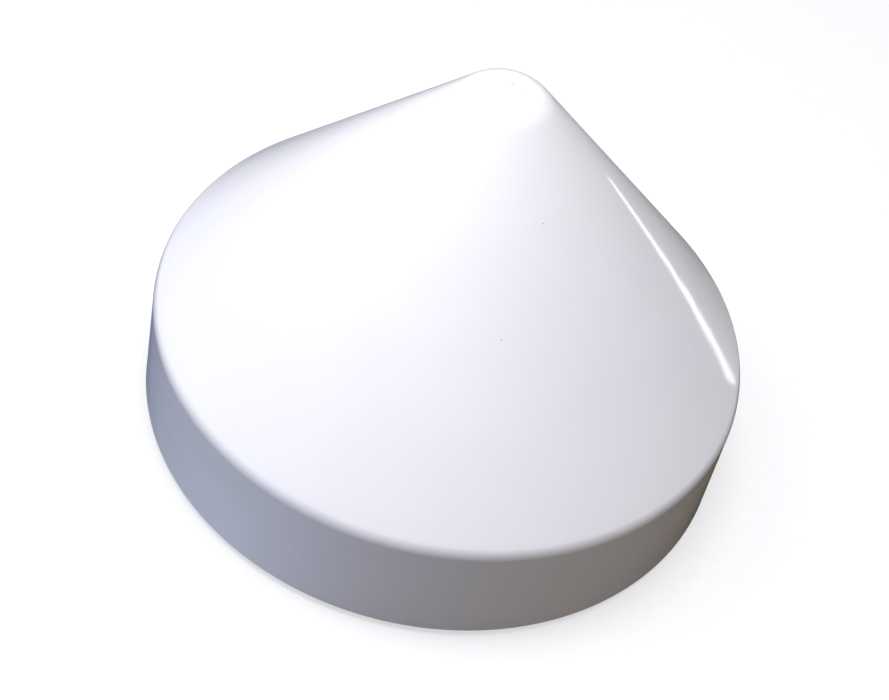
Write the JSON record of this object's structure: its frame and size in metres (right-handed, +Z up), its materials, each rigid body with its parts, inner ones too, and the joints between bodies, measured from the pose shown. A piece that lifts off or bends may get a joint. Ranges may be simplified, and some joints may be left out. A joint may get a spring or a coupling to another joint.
{
  "type": "radar dome antenna",
  "caption": "Small marine radar antenna: a flat array turned by a geared motor under a bolted conical white radome, on a ribbed base pan.",
  "frame": {"origin": "on the spin axis, in the plane of the mounting pads' feet", "axes": "+Z up the spin axis, +Y towards the bow, +X to starboard"},
  "size_m": [0.45, 0.4498, 0.3084],
  "materials": {
    "radome_shell": "glossy moulded white",
    "base_casting": "powder coated",
    "brass": "turned",
    "gold_plate": "gold plated",
    "coax_copper": "drawn copper tube",
    "printed_copper": "etched and lacquered",
    "stainless": "plain stainless",
    "bearing_steel": "ground and polished",
    "cage_nylon": "natural nylon",
    "spring_steel": "phosphated",
    "zinc_weight": "zinc plated",
    "seal_rubber": "matte",
    "black_nylon": "moulded",
    "chip_black": "moulded epoxy",
    "nickel_plate": "nickel plated",
    "machined_aluminium": "machined",
    "sheet_aluminium": "brushed sheet",
    "motor_lamination": "black enamel",
    "shield_casting": "die cast",
    "circuit_board": "solder mask",
    "microwave_board": "glass laminate",
    "capacitor_sleeve": "shrunk sleeve",
    "anodised_black": "black anodised",
    "ivory_nylon": "moulded",
    "gear_acetal": "hobbed acetal",
    "cable_jacket": "extruded",
    "ribbon_grey": "extruded"
  },
  "bodies": {
    "base": {"base_pan": "base_casting", "mounting_pads": "seal_rubber", "mounting_inserts": "stainless", "rim_gasket": "seal_rubber", "radome_bolts": "stainless", "bolt_washers": "seal_rubber", "breather_vent": "black_nylon", "inlet_cup": "base_casting", "inlet_connector": "nickel_plate", "inlet_nut": "nickel_plate", "inlet_oring": "seal_rubber", "bearing_housing": "machined_aluminium", "housing_screws": "stainless", "bearing_outer_rings": "bearing_steel", "rotary_joint_stator": "gold_plate", "coax_jumper": "coax_copper", "motor_bracket": "sheet_aluminium", "bracket_posts": "machined_aluminium", "motor_end_caps": "machined_aluminium", "motor_stator": "motor_lamination", "motor_screws": "stainless", "sensor_post": "machined_aluminium", "sensor_board": "circuit_board", "heading_sensor": "chip_black", "transceiver_case": "shield_casting", "transceiver_board": "circuit_board", "transceiver_lid": "shield_casting", "transceiver_screws": "stainless", "power_board": "circuit_board", "board_standoffs": "brass", "board_screws": "stainless", "capacitors": "capacitor_sleeve", "choke_coil": "coax_copper", "heat_sink": "anodised_black", "board_chips": "chip_black", "board_connectors": "ivory_nylon", "inlet_lead": "cable_jacket", "motor_lead": "cable_jacket", "sensor_lead": "cable_jacket", "ribbon_cable": "ribbon_grey"},
    "cover": {"radome": "radome_shell", "radome_inserts": "brass"},
    "scanner": {"rotor_shaft": "stainless", "bearing_inner_rings": "bearing_steel", "shaft_circlip": "spring_steel", "drive_gear": "gear_acetal", "array_bracket": "sheet_aluminium", "array_channel": "sheet_aluminium", "array_board": "microwave_board", "array_patches": "printed_copper", "array_screws": "stainless", "rotary_joint_rotor": "gold_plate", "coax_feed": "coax_copper", "heading_magnet": "spring_steel", "counterweight": "zinc_weight"},
    "ball_set": {"bearing_balls": "bearing_steel", "ball_cages": "cage_nylon"},
    "motor_rotor": {"motor_shaft": "stainless", "motor_core": "spring_steel", "motor_pinion": "brass"}
  },
  "joints": [
    {"name": "scanner_spin", "type": "hinge", "parent": "base", "child": "scanner", "pos_m": [0, 0, 0.04], "axis": [0, 0, 1], "continuous": true},
    {"name": "cage_spin", "type": "hinge", "parent": "base", "child": "ball_set", "pos_m": [0, 0, 0.04], "axis": [0, 0, 1], "continuous": true},
    {"name": "pinion_spin", "type": "hinge", "parent": "base", "child": "motor_rotor", "pos_m": [0, 0.063, 0.04], "axis": [0, 0, 1], "continuous": true},
    {"name": "radome_lift", "type": "slide", "parent": "base", "child": "cover", "axis": [0, 0, 1], "range_m": [0, 0.35]}
  ],
  "couplings": [
    {"joint": "pinion_spin", "follows": "scanner_spin", "ratio": -6},
    {"joint": "cage_spin", "follows": "scanner_spin", "ratio": 0.3987}
  ]
}
